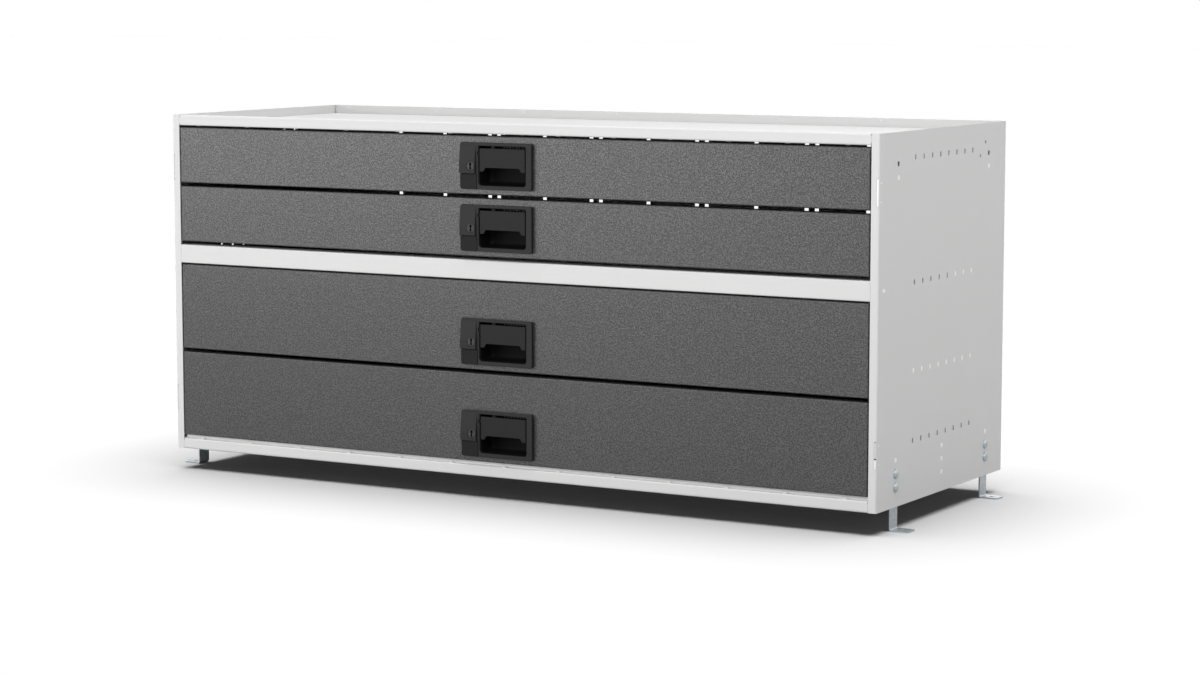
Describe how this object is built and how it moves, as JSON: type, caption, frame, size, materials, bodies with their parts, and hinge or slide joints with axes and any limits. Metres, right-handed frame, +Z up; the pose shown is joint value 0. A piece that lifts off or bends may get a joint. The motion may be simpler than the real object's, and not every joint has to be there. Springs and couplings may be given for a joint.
{
  "type": "truck drawer unit",
  "caption": "Low folded-steel drawer cabinet for a truck or van: tray top, shallow drawers over deep ones, a lockable paddle latch in each front, and bolt-down feet.",
  "frame": {"origin": "middle of the footprint, on the floor under the feet", "axes": "+X to the right seen from the front, +Y to the rear (the drawers open towards -Y), +Z up"},
  "size_m": [1.252, 0.453, 0.5531],
  "materials": {
    "white_paint": "satin powder coat",
    "hammered_grey": "dark grey hammered powder coat",
    "dark_paint": "smooth dark grey powder coat",
    "zinc": "bright zinc plated",
    "black_plastic": "fine-grained moulded nylon"
  },
  "bodies": {
    "cabinet": {"side_panel_left": "white_paint", "side_panel_right": "white_paint", "back_panel": "white_paint", "top_tray": "white_paint", "divider_rail": "white_paint", "base_pan": "white_paint", "foot_front_left": "zinc", "foot_rear_left": "zinc", "foot_front_right": "zinc", "foot_rear_right": "zinc", "foot_bolt_front_left_lower": "zinc", "foot_bolt_front_left_upper": "zinc", "foot_bolt_rear_left_lower": "zinc", "foot_bolt_rear_left_upper": "zinc", "foot_bolt_front_right_lower": "zinc", "foot_bolt_front_right_upper": "zinc", "foot_bolt_rear_right_lower": "zinc", "foot_bolt_rear_right_upper": "zinc", "runner_1_left": "zinc", "runner_1_right": "zinc", "runner_2_left": "zinc", "runner_2_right": "zinc", "runner_3_left": "zinc", "runner_3_right": "zinc", "runner_4_left": "zinc", "runner_4_right": "zinc"},
    "drawer_1": {"drawer_front_1": "hammered_grey", "drawer_box_1": "dark_paint", "slider_1_left": "zinc", "slider_1_right": "zinc", "latch_housing_1": "black_plastic"},
    "drawer_2": {"drawer_front_2": "hammered_grey", "drawer_box_2": "dark_paint", "slider_2_left": "zinc", "slider_2_right": "zinc", "latch_housing_2": "black_plastic"},
    "drawer_3": {"drawer_front_3": "hammered_grey", "drawer_box_3": "dark_paint", "slider_3_left": "zinc", "slider_3_right": "zinc", "latch_housing_3": "black_plastic"},
    "drawer_4": {"drawer_front_4": "hammered_grey", "drawer_box_4": "dark_paint", "slider_4_left": "zinc", "slider_4_right": "zinc", "latch_housing_4": "black_plastic"},
    "paddle_1": {"paddle_1": "black_plastic"},
    "paddle_2": {"paddle_2": "black_plastic"},
    "paddle_3": {"paddle_3": "black_plastic"},
    "paddle_4": {"paddle_4": "black_plastic"},
    "latch_bar_1": {"latch_bar_1": "zinc"},
    "latch_bar_2": {"latch_bar_2": "zinc"},
    "latch_bar_3": {"latch_bar_3": "zinc"},
    "latch_bar_4": {"latch_bar_4": "zinc"},
    "lock_1": {"lock_cylinder_1": "black_plastic"},
    "lock_2": {"lock_cylinder_2": "black_plastic"},
    "lock_3": {"lock_cylinder_3": "black_plastic"},
    "lock_4": {"lock_cylinder_4": "black_plastic"}
  },
  "joints": [
    {"name": "drawer_1_slide", "type": "slide", "parent": "cabinet", "child": "drawer_1", "axis": [0, -1, 0], "range_m": [0, 0.3]},
    {"name": "drawer_2_slide", "type": "slide", "parent": "cabinet", "child": "drawer_2", "axis": [0, -1, 0], "range_m": [0, 0.3]},
    {"name": "drawer_3_slide", "type": "slide", "parent": "cabinet", "child": "drawer_3", "axis": [0, -1, 0], "range_m": [0, 0.3]},
    {"name": "drawer_4_slide", "type": "slide", "parent": "cabinet", "child": "drawer_4", "axis": [0, -1, 0], "range_m": [0, 0.3]},
    {"name": "paddle_1_swing", "type": "hinge", "parent": "drawer_1", "child": "paddle_1", "pos_m": [0, -0.2167, 0.5125], "axis": [-1, 0, 0], "range_deg": [0, 25], "stiffness_Nm_per_rad": 0.3, "springref_deg": -28.65},
    {"name": "paddle_2_swing", "type": "hinge", "parent": "drawer_2", "child": "paddle_2", "pos_m": [0, -0.2167, 0.4218], "axis": [-1, 0, 0], "range_deg": [0, 25], "stiffness_Nm_per_rad": 0.3, "springref_deg": -28.65},
    {"name": "paddle_3_swing", "type": "hinge", "parent": "drawer_3", "child": "paddle_3", "pos_m": [0, -0.2167, 0.2547], "axis": [-1, 0, 0], "range_deg": [0, 25], "stiffness_Nm_per_rad": 0.3, "springref_deg": -28.65},
    {"name": "paddle_4_swing", "type": "hinge", "parent": "drawer_4", "child": "paddle_4", "pos_m": [0, -0.2167, 0.1185], "axis": [-1, 0, 0], "range_deg": [0, 25], "stiffness_Nm_per_rad": 0.3, "springref_deg": -28.65},
    {"name": "latch_bar_1_turn", "type": "hinge", "parent": "drawer_1", "child": "latch_bar_1", "pos_m": [0, -0.2102, 0.5285], "axis": [1, 0, 0], "range_deg": [0, 25]},
    {"name": "latch_bar_2_turn", "type": "hinge", "parent": "drawer_2", "child": "latch_bar_2", "pos_m": [0, -0.2102, 0.4378], "axis": [1, 0, 0], "range_deg": [0, 25]},
    {"name": "latch_bar_3_turn", "type": "hinge", "parent": "drawer_3", "child": "latch_bar_3", "pos_m": [0, -0.2102, 0.2707], "axis": [1, 0, 0], "range_deg": [0, 25]},
    {"name": "latch_bar_4_turn", "type": "hinge", "parent": "drawer_4", "child": "latch_bar_4", "pos_m": [0, -0.2102, 0.1345], "axis": [1, 0, 0], "range_deg": [0, 25]},
    {"name": "lock_1_turn", "type": "hinge", "parent": "drawer_1", "child": "lock_1", "pos_m": [-0.0498, -0.2172, 0.4904], "axis": [0, -1, 0], "range_deg": [0, 90]},
    {"name": "lock_2_turn", "type": "hinge", "parent": "drawer_2", "child": "lock_2", "pos_m": [-0.0498, -0.2172, 0.3997], "axis": [0, -1, 0], "range_deg": [0, 90]},
    {"name": "lock_3_turn", "type": "hinge", "parent": "drawer_3", "child": "lock_3", "pos_m": [-0.0498, -0.2172, 0.2326], "axis": [0, -1, 0], "range_deg": [0, 90]},
    {"name": "lock_4_turn", "type": "hinge", "parent": "drawer_4", "child": "lock_4", "pos_m": [-0.0498, -0.2172, 0.0964], "axis": [0, -1, 0], "range_deg": [0, 90]}
  ],
  "couplings": [
    {"joint": "latch_bar_1_turn", "follows": "paddle_1_swing", "ratio": 1},
    {"joint": "latch_bar_2_turn", "follows": "paddle_2_swing", "ratio": 1},
    {"joint": "latch_bar_3_turn", "follows": "paddle_3_swing", "ratio": 1},
    {"joint": "latch_bar_4_turn", "follows": "paddle_4_swing", "ratio": 1}
  ]
}
